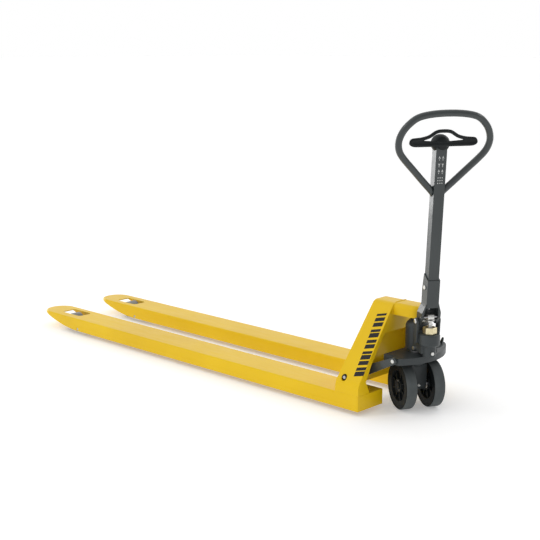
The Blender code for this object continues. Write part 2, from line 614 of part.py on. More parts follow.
def make_axle_carrier(steer):
    reach = WHEEL_LAT - WHEEL_WIDTH / 2 - 0.003
    boss = circle((0, WHEEL_R), 0.024, 14, math.pi, math.pi)
    outline = [(-0.026, CARRIER_TOP)] + boss + [(0.026, CARRIER_TOP)]
    carrier = add("axle_carrier", prism(outline, 'Y', -reach, reach), GREY, steer)
    stem = [(0.032, CARRIER_TOP - 0.006), (0.036, CARRIER_TOP - 0.002),
            (0.036, YOKE_LOW - GAP), (STEM_R, YOKE_LOW - GAP),
            (STEM_R, PUMP_BASE - GAP)]
    join(carrier, turned(stem, 'Z', (0, 0), 28))
    cut(carrier, rod(WHEEL_AXLE_R + GAP, 'Y', (0, WHEEL_R), -0.05, 0.05),
        rod(0.0034, 'X', (0, WHEEL_R + 0.002), 0.018, 0.04, 0.0, 12))


def make_small_pump_parts(steer):
    reach = WHEEL_LAT + WHEEL_WIDTH / 2
    add("wheel_axle", rod(WHEEL_AXLE_R, 'Y', (0, WHEEL_R), -reach + 0.008, reach - 0.008,
                          0.001, 20), STEEL, steer)
    nipple = [(0.0030, 0.0190), (0.0030, 0.0245), (0.0055, 0.0250), (0.0055, 0.0275),
              (0.0028, 0.0285), (0.0040, 0.0310), (0.0028, 0.0335)]
    add("grease_nipple", turned(nipple, 'X', (0, WHEEL_R + 0.002), 12), ZINC, steer)
    pin = [(TILLER_PIN_R - 0.001, LUG_OUT + 0.004), (TILLER_PIN_R, LUG_OUT + 0.003),
           (TILLER_PIN_R, -LUG_OUT - GAP), (0.0100, -LUG_OUT - GAP),
           (0.0100, -LUG_OUT - 0.0035), (0.0070, -LUG_OUT - 0.0055)]
    add("tiller_pin", turned(pin, 'Y', (TILLER_X, TILLER_Z), 20), ZINC, steer)
    face = -BLOCK_HALF - GAP
    plug = circle(FILLER, 0.0085, 6)
    head = add("filler_plug", prism(plug, 'Y', face - 0.0065, face), ZINC, steer)
    join(head, rod(0.0041, 'Y', FILLER, face - 0.001, face + 0.014, 0.0, 12))
    screw = circle(BLEED, 0.0078, 6)
    add("bleed_screw", prism(screw, 'X', PISTON_X + 0.0208, PISTON_X + 0.0300), ZINC, steer)
    for side, word in ((-1, "left"), (1, "right")):
        end = side * (WHEEL_LAT + 0.018)
        cap = [(0.0185, end + side * 0.0005), (0.0185, end + side * 0.0020),
               (0.0130, end + side * 0.0045)]
        add(f"axle_cap_{word}", turned(cap, 'Y', (0, WHEEL_R), 24), BLACK, steer)


def make_wheel(word, side, wheel):
    lat, half = side * WHEEL_LAT, WHEEL_WIDTH / 2
    inner = WHEEL_R - TREAD
    tyre = [(inner, -half + 0.002), (WHEEL_R - 0.006, -half), (WHEEL_R - 0.0025, -half + 0.0025),
            (WHEEL_R, -half + 0.008)]
    tyre = [(r, lat + w) for r, w in tyre] + [(r, lat - w) for r, w in tyre[::-1]]
    add(f"tyre_{word}", ring_of(tyre, 'Y', (0, WHEEL_R), 44), TREAD_GREY, wheel)
    hub = [(BEARING_R + GAP, -half + 0.004), (0.028, -half + 0.004), (0.031, -half + 0.012),
           (0.060, -half + 0.012), (0.065, -half + 0.003), (inner - GAP, -half + 0.002)]
    hub = [(r, lat + w) for r, w in hub] + [(r, lat - w) for r, w in hub[::-1]]
    add(f"wheel_hub_{word}", ring_of(hub, 'Y', (0, WHEEL_R), 44), BLACK, wheel)
    add(f"wheel_bearing_{word}",
        washer(WHEEL_AXLE_R + GAP, BEARING_R, 'Y', (0, WHEEL_R), lat - 0.018, lat + 0.018, 24),
        STEEL, wheel)


def make_ram(slide):
    profile = [(RAM_R, 0.300), (RAM_R, RAM_TOP - 0.009), (RAM_R * 0.86, RAM_TOP - 0.004),
               (RAM_R * 0.5, RAM_TOP - 0.001), (RAM_R * 0.2, RAM_TOP)]
    add("ram", turned(profile, 'Z', (0, 0), 24), STEEL, slide)


def make_plunger(slide):
    top = CAM_Z - CAM_R - GAP
    profile = [(PLUNGER_R, BARREL_LOW), (PLUNGER_R, top - 0.007), (PLUNGER_HEAD_R, top - 0.007),
               (PLUNGER_HEAD_R, top - 0.0015), (PLUNGER_HEAD_R - 0.0015, top)]
    add("plunger", turned(profile, 'Z', (PISTON_X, 0), 24), ZINC, slide)
    coil_low, coil_high, wire, turns, steps = GLAND_LOW + 0.0095, top - 0.0085, 0.0008, 4, 12
    radius = 0.0100
    path = []
    for i in range(turns * steps + 1):
        angle = 2 * math.pi * i / steps
        path.append(Vector((PISTON_X + radius * math.cos(angle), radius * math.sin(angle),
                            coil_low + (coil_high - coil_low) * i / (turns * steps))))
    add("plunger_spring", tube(path, wire, (0, 0, 1), 5), STEEL, slide)


# ================================================================ tiller
def column_box(front_shift, back_shift, half, low, high):
    """A box that leans with the tiller column; its shifts are from the column's front face."""
    return prism([(column_front(low) + back_shift, low), (column_front(low) + front_shift, low),
                  (column_front(high) + front_shift, high),
                  (column_front(high) + back_shift, high)], 'Y', -half, half)


SOCKET_BOLT = (column_front(0.535) - COLUMN_DEPTH / 2, 0.535)


def cheek_outline():
    """Side view of the lower cheeks of the tiller socket, with the pivot eye and cam lobe."""
    eye = circle((TILLER_X, TILLER_Z), 0.0150, 12, math.pi, math.pi * 0.95)
    lobe = circle((CAM_X, CAM_Z), 0.0095, 6, -math.pi / 3, math.pi / 2)
    return ([(SOCKET_BACK_X, SPREAD_LOW)] + eye + lobe
            + [(SOCKET_BACK_X + 0.0460, SPREAD_LOW - 0.0030),
               (SOCKET_BACK_X + 0.0465, SPREAD_LOW)])


def spread_ring(back, front, inner, outer, z):
    return [(back, inner, z), (front, inner, z), (front, outer, z), (back, outer, z)]


def cheek_spread(side):
    """The wall that spreads from the socket's narrow upper part out to its lower cheek."""
    low, high = SPREAD_LOW - 0.0010, SPREAD_HIGH
    return loft([
        spread_ring(SOCKET_BACK_X, SOCKET_BACK_X + 0.0465, side * CHEEK_IN, side * CHEEK_OUT, low),
        spread_ring(SOCKET_BACK_X + 0.0085, column_front(high) + 0.0050,
                    side * (COLUMN_HALF + 2 * GAP), side * (SOCKET_HALF - GAP), high)])


def socket_back():
    """The web across the back of the cheeks, which narrows with them."""
    web = 0.0040
    rings = []
    for x, half, z in ((SOCKET_BACK_X, CHEEK_IN + 0.001, 0.406),
                       (SOCKET_BACK_X, CHEEK_IN + 0.001, SPREAD_LOW),
                       (SOCKET_BACK_X + 0.0075, COLUMN_HALF + 0.0020, SPREAD_HIGH - 0.004)):
        rings.append(spread_ring(x, x + web, -half, half, z))
    return loft(rings)


def make_socket(tiller):
    """The sleeve at the column's foot, which spreads into two cheeks round the plunger."""
    front_low, front_high, lip = 0.452, 0.565, 0.0045
    side = [(0.0830, front_low), (column_front(front_low) + lip, front_low),
            (column_front(front_high) + lip, front_high),
            (column_front(0.59) - COLUMN_DEPTH, 0.59), (0.0860, 0.522)]
    inner, outer = COLUMN_HALF + GAP, SOCKET_HALF
    socket = add("tiller_socket", prism(side, 'Y', -outer, -inner), GREY, tiller)
    join(socket, prism(side, 'Y', inner, outer),
         column_box(lip, GAP, outer, front_low, front_high),
         column_box(-COLUMN_DEPTH - GAP, -COLUMN_DEPTH - 0.0040, outer, 0.462, 0.512),
         socket_back())
    for s in (-1, 1):
        join(socket, prism(cheek_outline(), 'Y', s * CHEEK_IN, s * CHEEK_OUT),
             cheek_spread(s))
    cut(socket, rod(TILLER_PIN_R + GAP, 'Y', (TILLER_X, TILLER_Z), -0.06, 0.06),
        rod(CROSS_PIN_R + GAP, 'Y', (CAM_X, CAM_Z), -0.06, 0.06),
        rod(CROSS_PIN_R + GAP, 'Y', SOCKET_BOLT, -0.06, 0.06))


def make_column(tiller):
    column = add("tiller_column", column_box(0.0, -COLUMN_DEPTH, COLUMN_HALF,
                                             COLUMN_FOOT, COLUMN_TOP), GREY, tiller)
    wall = COLUMN_WALL
    cut(column,
        column_box(-wall, -COLUMN_DEPTH + wall, COLUMN_HALF - wall, COLUMN_FOOT - 0.02,
                   COLUMN_TOP + 0.02),
        rod(CROSS_PIN_R + GAP, 'Y', SOCKET_BOLT, -0.06, 0.06),
        rod(LEVER_SPINDLE_R + GAP, 'Y', LEVER_SPINDLE_AT, -0.06, 0.06))
    seat = 0.0273
    half = [(CROSS_PIN_R, seat), (0.0085, seat), (0.0085, seat + 0.0037), (0.0075, seat + 0.0047)]
    add("socket_bolt", turned([(r, -lat) for r, lat in half[::-1]] + half, 'Y', SOCKET_BOLT, 16),
        ZINC, tiller)


def handle_path():
    """Centre line of the loop handle, which leans forward over the column."""
    half = [(0.000, 1.2270), (0.066, 1.2240), (0.121, 1.2130), (0.154, 1.1910), (0.179, 1.1610),
            (0.1915, 1.1230), (0.1840, 1.0860), (0.1610, 1.0550), (0.113, 1.0080),
            (0.066, 0.9620), (0.026, 0.9240)]
    outline = half + [(0.0, 0.9000)] + [(-lat, z) for lat, z in half[:0:-1]]
    points = [(0.134 + (z - 0.90) * 0.270, lat, z) for lat, z in outline]
    return smooth(points, 3, closed=True)


def make_handle(tiller):
    loop = add("handle_loop", tube(handle_path(), LOOP_R, (1, 0, 0), 12, closed=True),
               GREY, tiller)
    cut(loop, column_box(0.05, -0.08, COLUMN_HALF + GAP, 0.80, 0.98))


def make_cam(cam, tiller):
    at = (CAM_X, CAM_Z)
    add("cam_roller", washer(CROSS_PIN_R + GAP, CAM_R, 'Y', at, -CAM_HALF, CAM_HALF, 24), ZINC, cam)
    add("cam_pin", rod(CROSS_PIN_R, 'Y', at, -0.0415, 0.0415, 0.0005, 14), STEEL, tiller)


def ellipsoid(centre, radii, sides=24, rows=14):
    bm = bmesh.new()
    bmesh.ops.create_uvsphere(bm, u_segments=sides, v_segments=rows, radius=1.0)
    bmesh.ops.scale(bm, verts=bm.verts, vec=radii)
    bmesh.ops.translate(bm, verts=bm.verts, vec=centre)
    return bm


def make_control_lever(lever, tiller):
    """Two finger wings under an arched rod, on a domed hub that covers the column's end."""
    x = LEVER_SPINDLE_AT[0]
    plane, low, high = x + 0.030, 1.0980, 1.1290
    radius = (high - low) / 2
    wing = (circle((LEVER_HALF - radius, low + radius), radius, 10, -math.pi / 2, math.pi)
            + circle((radius - LEVER_HALF, low + radius), radius, 10, math.pi / 2, math.pi))
    wings = add("control_lever", prism(wing, 'X', plane - 0.009, plane + 0.009), BLACK, lever)
    half = [(0.135, 1.1140), (0.123, 1.1255), (0.094, 1.1300), (0.061, 1.1380),
            (0.031, 1.1510), (0.0, 1.1560)]
    arch = [(plane, lat, z) for lat, z in half] + [(plane, -lat, z) for lat, z in half[-2::-1]]
    join(wings, tube(smooth(arch, 3), 0.0075, (1, 0, 0), 12),
         ellipsoid((x, 0, LEVER_AXIS_Z + 0.007), (0.040, 0.037, 0.036)))
    cut(wings,
        box((x - 0.0255, -COLUMN_HALF - 0.0010, 1.05), (x + 0.0255, COLUMN_HALF + 0.0010, 1.1145)),
        rod(LEVER_SPINDLE_R + GAP, 'Y', LEVER_SPINDLE_AT, -0.06, 0.06, 0.0, 14))
    add("lever_pin", rod(LEVER_SPINDLE_R, 'Y', LEVER_SPINDLE_AT, -0.0345, 0.0345, 0.0008, 14),
        STEEL, tiller)


def make_control_rod(slide):
    """The release rod inside the column, from the control lever down to the pump."""
    ends = (0.440, 1.085)
    rings = [[(u, v, z) for u, v in circle((column_front(z) - COLUMN_DEPTH / 2 - 0.008, 0),
                                           0.0025, 10)] for z in ends]
    add("control_rod", loft(rings), STEEL, slide)


def make_valve_lever(valve):
    """The release lever on the pump's far side, with its spindle and bolt head in one piece."""
    at = (VALVE_X, VALVE_Z)
    lever = add("valve_lever", prism(hull((*at, 0.0115), (VALVE_X + 0.016, VALVE_Z + 0.028, 0.006)),
                                     'Y', 0.0770, 0.0815), GREY, valve)
    join(lever, turned([(0.0040, 0.062), (0.0040, 0.081), (0.0075, 0.081), (0.0075, 0.0870),
                        (0.0060, 0.0880)], 'Y', at, 16))


def build():
    clear_scene()
    frame = pivot("frame_origin", None, (0, 0, 0))
    frame.location = (STEER_X, CENTRE_Y, 0.0)
    make_frame(frame)

    rocker = pivot("rocker_axis", frame, (ROCKER_X, 0, ROCKER_Z))
    make_rocker(rocker)
    for side, word in ((-1, "left"), (1, "right")):
        slide = pivot(f"push_rod_{word}_slide", frame, (ROD_PIN[0], side * FORK_Y, ROD_Z))
        make_push_rod(f"push_rod_{word}", side, slide)
        arm = pivot(f"load_arm_{word}_axis", frame, (ARM_PIVOT_X, side * FORK_Y, ARM_PIVOT_Z))
        roller = pivot(f"load_roller_{word}_axis", arm, (ROLLER_X, side * FORK_Y, ROLLER_R))
        make_load_arm(word, side, arm, roller)

    yoke = pivot("yoke_axis", rocker, (YOKE_BOLT_X, 0, YOKE_BOLT_Z))
    make_yoke(yoke)

    steer = pivot("steer_axis", yoke, (0, 0, 0), STEER_ANGLE)
    make_pump_body(steer)
    make_gland(steer)
    make_axle_carrier(steer)
    make_small_pump_parts(steer)
    for side, word in ((-1, "left"), (1, "right")):
        wheel = pivot(f"wheel_{word}_axis", steer, (0, side * WHEEL_LAT, WHEEL_R))
        make_wheel(word, side, wheel)
    make_ram(pivot("ram_slide", steer, (0, 0, RAM_TOP)))
    make_plunger(pivot("plunger_slide", steer, (PISTON_X, 0, CAM_Z - CAM_R)))
    make_valve_lever(pivot("valve_axis", steer, (VALVE_X, 0, VALVE_Z)))

    tiller = pivot("tiller_axis", steer, (TILLER_X, 0, TILLER_Z))
    make_socket(tiller)
    make_column(tiller)
    make_handle(tiller)
    make_cam(pivot("cam_axis", tiller, (CAM_X, 0, CAM_Z)), tiller)
    lever_x = LEVER_SPINDLE_AT[0]
    make_control_lever(pivot("control_lever_axis", tiller, (lever_x, 0, LEVER_AXIS_Z)), tiller)
    make_control_rod(pivot("control_rod_slide", tiller, (lever_x, 0, LEVER_AXIS_Z)))


build()
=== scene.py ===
"""Looks of the pallet jack: materials, soft edges, welds, dressing, studio floor, lights and camera.

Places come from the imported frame: boxes and spans of its nodes and the axes of its joints, in metres.
"""
import json
import math

import bmesh
import bpy
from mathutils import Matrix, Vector


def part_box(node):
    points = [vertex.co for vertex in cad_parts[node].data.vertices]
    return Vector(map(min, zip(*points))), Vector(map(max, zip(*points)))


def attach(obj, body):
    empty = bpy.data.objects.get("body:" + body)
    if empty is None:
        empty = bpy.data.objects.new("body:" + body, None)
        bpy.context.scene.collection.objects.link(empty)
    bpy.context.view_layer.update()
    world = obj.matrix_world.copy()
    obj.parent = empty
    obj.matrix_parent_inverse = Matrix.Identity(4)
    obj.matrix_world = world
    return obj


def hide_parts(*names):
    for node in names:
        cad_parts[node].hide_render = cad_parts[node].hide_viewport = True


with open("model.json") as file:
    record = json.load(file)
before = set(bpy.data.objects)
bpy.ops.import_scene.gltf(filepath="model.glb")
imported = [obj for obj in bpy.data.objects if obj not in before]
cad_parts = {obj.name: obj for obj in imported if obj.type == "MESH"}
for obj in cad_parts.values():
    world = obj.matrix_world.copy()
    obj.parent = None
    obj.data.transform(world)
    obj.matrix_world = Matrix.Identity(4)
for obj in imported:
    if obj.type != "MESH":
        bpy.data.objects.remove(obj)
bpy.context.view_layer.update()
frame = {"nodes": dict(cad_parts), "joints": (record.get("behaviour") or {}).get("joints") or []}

UP = Vector((0, 0, 1))
TO_HEAD = Vector((1, 0, 0))                         # from the fork tips to the steering head
JOINTS = {joint["name"]: joint for joint in frame["joints"]}
STEER_AT = Vector(JOINTS["steering"]["pos_m"])
ACROSS = Vector(JOINTS["tiller_swing"]["axis"])     # along the tiller's pin, as the head stands turned
AHEAD = ACROSS.cross(UP)                            # the way the turned head faces
SIDES = (("left", -1), ("right", 1))


# ================================================================ measuring the frame
def span(node, direction, about=Vector()):
    """Lowest and highest reach of a CAD node along a direction, from a point."""
    reach = [(v.co - about).dot(direction) for v in frame["nodes"][node].data.vertices]
    return min(reach), max(reach)


def joint_at(name):
    """A point on a joint's axis."""
    return Vector(JOINTS[name]["pos_m"])


def widest_face(node, faces_right_way):
    """Centre and normal of a CAD node's largest triangle among those that face the right way."""
    faces = [f for f in frame["nodes"][node].data.polygons if faces_right_way(f.normal)]
    widest = max(faces, key=lambda f: f.area)
    return widest.center.copy(), widest.normal.copy()


# ================================================================ shader nodes
NOISE = "ShaderNodeTexNoise"
VORONOI = "ShaderNodeTexVoronoi"


def new_material(name):
    material = bpy.data.materials.new(name)
    material.use_nodes = True
    return material, material.node_tree, material.node_tree.nodes["Principled BSDF"]


def texture(tree, kind, scale, stretch=(1, 1, 1), **values):
    """A procedural texture node on object coordinates."""
    coordinates = tree.nodes.new("ShaderNodeTexCoord")
    mapping = tree.nodes.new("ShaderNodeMapping")
    mapping.inputs["Scale"].default_value = stretch
    node = tree.nodes.new(kind)
    node.inputs["Scale"].default_value = scale
    for key, value in values.items():
        node.inputs[key].default_value = value
    tree.links.new(coordinates.outputs["Object"], mapping.inputs["Vector"])
    tree.links.new(mapping.outputs["Vector"], node.inputs["Vector"])
    return node


def ramp(tree, source, low, high, dark, light):
    """Maps a texture's value from low..high to two colours or two grey levels."""
    node = tree.nodes.new("ShaderNodeValToRGB")
    node.color_ramp.elements[0].position = low
    node.color_ramp.elements[1].position = high
    for element, shade in zip(node.color_ramp.elements, (dark, light)):
        element.color = (*shade, 1) if hasattr(shade, "__len__") else (shade, shade, shade, 1)
    tree.links.new(source, node.inputs["Fac"])
    return node.outputs["Color"]


def mix(tree, kind, share, a, b):
    """Blends two colours; each of share, a and b is a socket or a plain value."""
    node = tree.nodes.new("ShaderNodeMix")
    node.data_type = "RGBA"
    node.blend_type = kind
    for name, value in (("Factor", share), ("A", a), ("B", b)):
        sockets = [s for s in node.inputs if s.name == name and s.enabled]
        if isinstance(value, bpy.types.NodeSocket):
            tree.links.new(value, sockets[0])
        else:
            sockets[0].default_value = (*value, 1) if hasattr(value, "__len__") else value
    return next(s for s in node.outputs if s.enabled)


def bump(tree, shader, layers):
    """Chains bump layers, each a (socket, strength, distance), into the shader's normal."""
    last = None
    for source, strength, distance in layers:
        node = tree.nodes.new("ShaderNodeBump")
        node.inputs["Strength"].default_value = strength
        node.inputs["Distance"].default_value = distance
        tree.links.new(source, node.inputs["Height"])
        if last:
            tree.links.new(last, node.inputs["Normal"])
        last = node.outputs["Normal"]
    tree.links.new(last, shader.inputs["Normal"])


# ================================================================ materials
DUST = (0.62, 0.61, 0.58)


def enamel(name, deep, plain, roughness, gloss, coat, peel, grime):
    """Sprayed paint: slow colour drift, orange peel, dull rub marks and specks of dust."""
    material, tree, shader = new_material(name)
    drift = texture(tree, NOISE, scale=2.6, Detail=3.0)
    colour = ramp(tree, drift.outputs["Fac"], low=0.35, high=0.68, dark=deep, light=plain)
    specks = texture(tree, NOISE, scale=260.0, Detail=2.0)
    dust = ramp(tree, specks.outputs["Fac"], low=0.60, high=0.78, dark=0.0, light=grime)
    colour = mix(tree, "MULTIPLY", share=dust, a=colour, b=DUST)
    tree.links.new(colour, shader.inputs["Base Color"])
    rubs = texture(tree, NOISE, scale=9.0, stretch=(1, 6, 6), Detail=8.0, Roughness=0.75)
    rough = ramp(tree, rubs.outputs["Fac"], low=0.30, high=0.75,
                 dark=roughness - 0.07, light=roughness + 0.12)
    tree.links.new(rough, shader.inputs["Roughness"])
    shader.inputs["Specular IOR Level"].default_value = gloss
    shader.inputs["Coat Weight"].default_value = coat
    shader.inputs["Coat Roughness"].default_value = 0.07
    orange_peel = texture(tree, NOISE, scale=420.0, Detail=1.0)
    waves = texture(tree, NOISE, scale=14.0, Detail=2.0)
    bump(tree, shader, [(orange_peel.outputs["Fac"], peel, 0.0004),
                        (waves.outputs["Fac"], 0.02, 0.002)])
    return material


def metal(name, dark, light, roughness, grain, stretch, metallic=1.0):
    """Bare or plated metal with tool marks along one direction and cloudy tarnish."""
    material, tree, shader = new_material(name)
    cloud = texture(tree, NOISE, scale=55.0, Detail=5.0, Roughness=0.65)
    colour = ramp(tree, cloud.outputs["Fac"], low=0.32, high=0.70, dark=dark, light=light)
    tree.links.new(colour, shader.inputs["Base Color"])
    shader.inputs["Metallic"].default_value = metallic
    marks = texture(tree, NOISE, scale=grain, stretch=stretch, Detail=4.0)
    rough = ramp(tree, marks.outputs["Fac"], low=0.30, high=0.72,
                 dark=roughness - 0.08, light=roughness + 0.12)
    tree.links.new(rough, shader.inputs["Roughness"])
    bump(tree, shader, [(marks.outputs["Fac"], 0.12, 0.0003)])
    return material


def moulded(name, deep, plain, roughness, gloss, grain, strength, scuff):
    """Moulded plastic or polyurethane: a grained surface with pale scuffs."""
    material, tree, shader = new_material(name)
    drift = texture(tree, NOISE, scale=22.0, Detail=4.0)
    colour = ramp(tree, drift.outputs["Fac"], low=0.30, high=0.72, dark=deep, light=plain)
    marks = texture(tree, NOISE, scale=130.0, stretch=(1, 1, 4), Detail=9.0, Roughness=0.8)
    scuffs = ramp(tree, marks.outputs["Fac"], low=0.56, high=0.74, dark=0.0, light=scuff)
    scuffed = tuple(c * 1.8 + 0.012 for c in plain)
    colour = mix(tree, "MIX", share=scuffs, a=colour, b=scuffed)
    tree.links.new(colour, shader.inputs["Base Color"])
    rough = ramp(tree, marks.outputs["Fac"], low=0.3, high=0.7,
                 dark=roughness - 0.06, light=roughness + 0.10)
    tree.links.new(rough, shader.inputs["Roughness"])
    shader.inputs["Specular IOR Level"].default_value = gloss
    cells = texture(tree, VORONOI, scale=grain)
    bump(tree, shader, [(cells.outputs["Distance"], strength, 0.0003),
                        (marks.outputs["Fac"], 0.10, 0.0004)])
    return material


YELLOW = enamel("yellow_enamel", deep=(0.770, 0.490, 0.005), plain=(0.830, 0.545, 0.007),
                roughness=0.34, gloss=0.16, coat=0.10, peel=0.06, grime=0.04)
GREY = enamel("grey_enamel", deep=(0.032, 0.039, 0.040), plain=(0.042, 0.050, 0.051),
              roughness=0.34, gloss=0.32, coat=0.40, peel=0.05, grime=0.08)
CASTING = enamel("grey_cast_enamel", deep=(0.031, 0.038, 0.040), plain=(0.042, 0.049, 0.051),
                 roughness=0.42, gloss=0.30, coat=0.10, peel=0.30, grime=0.12)
STEEL = metal("ground_steel", dark=(0.36, 0.36, 0.37), light=(0.56, 0.56, 0.57),
              roughness=0.30, grain=260.0, stretch=(1, 1, 8))
ZINC = metal("zinc_plate", dark=(0.58, 0.58, 0.56), light=(0.80, 0.80, 0.78),
             roughness=0.30, grain=160.0, stretch=(1, 1, 3), metallic=0.9)
BRASS = metal("yellow_brass", dark=(0.64, 0.55, 0.33), light=(0.82, 0.73, 0.48),
              roughness=0.30, grain=200.0, stretch=(1, 1, 5), metallic=0.85)
BLACK = moulded("black_moulding", deep=(0.006, 0.008, 0.009), plain=(0.011, 0.014, 0.015),
                roughness=0.44, gloss=0.22, grain=1500.0, strength=0.14, scuff=0.08)
HUB = moulded("black_nylon", deep=(0.004, 0.006, 0.007), plain=(0.008, 0.011, 0.012),
              roughness=0.50, gloss=0.12, grain=1500.0, strength=0.14, scuff=0.06)
TREAD = moulded("grey_polyurethane", deep=(0.064, 0.073, 0.074), plain=(0.088, 0.098, 0.099),
                roughness=0.58, gloss=0.24, grain=1100.0, strength=0.22, scuff=0.22)
SIDEWALL = moulded("black_polyurethane", deep=(0.003, 0.005, 0.006), plain=(0.006, 0.009, 0.010),
                   roughness=0.56, gloss=0.08, grain=1100.0, strength=0.18, scuff=0.08)
NYLON = moulded("grey_nylon", deep=(0.20, 0.20, 0.195), plain=(0.30, 0.30, 0.29),
                roughness=0.46, gloss=0.30, grain=900.0, strength=0.14, scuff=0.25)
INK = moulded("black_vinyl", deep=(0.008, 0.008, 0.008), plain=(0.012, 0.012, 0.012),
              roughness=0.36, gloss=0.24, grain=1300.0, strength=0.06, scuff=0.05)
MARKS = moulded("pale_print", deep=(0.52, 0.53, 0.52), plain=(0.62, 0.63, 0.62),
                roughness=0.50, gloss=0.24, grain=1300.0, strength=0.06, scuff=0.0)


# ================================================================ meshes
def mesh_object(name, bm):
    """Turns a bmesh into a mesh object in the scene."""
    mesh = bpy.data.meshes.new(name)
    bm.to_mesh(mesh)
    bm.free()
    obj = bpy.data.objects.new(name, mesh)
    bpy.context.scene.collection.objects.link(obj)
    return obj


def piece(name, bm, look, body, smooth_angle=35.0):
    """A finished mesh object that rides on a body and takes the material it is given."""
    bmesh.ops.recalc_face_normals(bm, faces=bm.faces)
    obj = mesh_object(name, bm)
    obj.data.shade_smooth()
    obj.data.set_sharp_from_angle(angle=math.radians(smooth_angle))
    obj.data.materials.append(look)
    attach(obj, body)
    return obj


def axes_of(axis):
    """Two directions square to an axis and to each other."""
    first = axis.cross(UP) if abs(axis.z) < 0.9 else axis.cross(Vector((0, 1, 0)))
    first.normalize()
    return first, axis.cross(first).normalized()


def circle(first, second, sides):
    """Directions evenly round a circle, from first towards second."""
    angles = [2 * math.pi * i / sides for i in range(sides)]
    return [first * math.cos(a) + second * math.sin(a) for a in angles]


def bridge(bm, rings, closed=False):
    """Joins rings of vertices into a tube, and caps its ends unless it closes on itself."""
    pairs = list(zip(rings, rings[1:]))
    if closed:
        pairs.append((rings[-1], rings[0]))
    for ring, following in pairs:
        for i in range(len(ring)):
            j = (i + 1) % len(ring)
            bm.faces.new((ring[i], ring[j], following[j], following[i]))
    if not closed:
        bm.faces.new(rings[0][::-1])
        bm.faces.new(rings[-1])
    return bm


def turned(bm, profile, centre, axis, sides):
    """Adds a closed (radius, along) profile spun about an axis."""
    return bridge(bm, [[bm.verts.new(centre + out * r + axis * along) for r, along in profile]
                       for out in circle(*axes_of(axis), sides)], closed=True)


def disc(bm, profile, centre, axis, sides):
    """Adds a solid turned piece; its open (radius, along) profile is capped at both ends."""
    around = circle(*axes_of(axis), sides)
    return bridge(bm, [[bm.verts.new(centre + out * r + axis * along) for out in around]
                       for r, along in profile])


def slab(bm, corners, lift):
    """Adds a thin plate: its corners in order, thickened by the lift vector."""
    return bridge(bm, [[bm.verts.new(c) for c in corners], [bm.verts.new(c + lift) for c in corners]])


def bead(bm, points, radius):
    """Adds a weld bead: a round run along points with the ripples of its passes."""
    sides, ripple, pitch, end_share = 8, 0.18, 0.006, 0.35
    steps = []
    for start, end in zip(points, points[1:]):
        count = max(2, int((end - start).length / (pitch / 3)))
        steps += [start.lerp(end, i / count) for i in range(count)]
    steps.append(points[-1])
    travelled, rings = 0.0, []
    for i, point in enumerate(steps):
        heading = (steps[min(i + 1, len(steps) - 1)] - steps[max(i - 1, 0)]).normalized()
        travelled += (point - steps[i - 1]).length if i else 0.0
        size = radius * (1 + ripple * math.cos(2 * math.pi * travelled / pitch))
        if i in (0, len(steps) - 1):
            size *= end_share
        rings.append([bm.verts.new(point + out * size) for out in circle(*axes_of(heading), sides)])
    return bridge(bm, rings)


def ring_bar(bm, points, radius):
    """Adds a round bar along a closed smooth curve through points, in a plane square to AHEAD."""
    steps, sides = 6, 16
    count = len(points)
    path = []
    for i in range(count):
        p0, p1, p2, p3 = (points[(i + k) % count] for k in (-1, 0, 1, 2))
        for step in range(steps):
            t = step / steps
            path.append(0.5 * ((2 * p1) + (p2 - p0) * t + (2 * p0 - 5 * p1 + 4 * p2 - p3) * t * t
                               + (3 * p1 - p0 - 3 * p2 + p3) * t ** 3))
    rings = []
    for i, point in enumerate(path):
        heading = (path[(i + 1) % len(path)] - path[i - 1]).normalized()
        first = heading.cross(AHEAD).normalized()
        second = heading.cross(first)
        rings.append([bm.verts.new(point + out * radius) for out in circle(first, second, sides)])
    return bridge(bm, rings, closed=True)


# ================================================================ CAD nodes
def paint(node, look):
    """Gives a CAD node its material."""
    obj = frame["nodes"][node]
    obj.data.materials.clear()
    obj.data.materials.append(look)
    return obj


def weld(obj):
    """Joins the corners that a faceted solid's triangles repeat."""
    modifier = obj.modifiers.new("weld", "WELD")
    modifier.merge_threshold = 0.00002


def soften(obj, voxel, rounds):
    """Fuses and rounds an object's shapes as those of a casting or a moulding."""
    remesh = obj.modifiers.new("skin", "REMESH")
    remesh.mode = "VOXEL"
    remesh.voxel_size = voxel
    remesh.use_smooth_shade = True
    smooth = obj.modifiers.new("soften", "SMOOTH")
    smooth.factor = 0.5
    smooth.iterations = rounds


def dress(node, look, edge):
    """Paints a CAD node and rounds its edges with modifiers."""
    obj = paint(node, look)
    obj.data.shade_smooth()
    weld(obj)
    flat = obj.modifiers.new("flat", "DECIMATE")
    flat.decimate_type = "DISSOLVE"
    flat.angle_limit = math.radians(0.6)
    bevel = obj.modifiers.new("edges", "BEVEL")
    bevel.width = edge
    bevel.segments = 2
    bevel.limit_method = "ANGLE"
    bevel.angle_limit = math.radians(32)
    bevel.harden_normals = True
    bevel.miter_outer = "MITER_ARC"
    normals = obj.modifiers.new("normals", "WEIGHTED_NORMAL")
    normals.keep_sharp = True


def cast(node, look, voxel, rounds):
    """Paints a CAD node and gives it the soft edges of a casting."""
    obj = paint(node, look)
    weld(obj)
    soften(obj, voxel, rounds)


def both(*names):
    """The left and the right node of each name."""
    return tuple(f"{name}_{word}" for name in names for word, _ in SIDES)


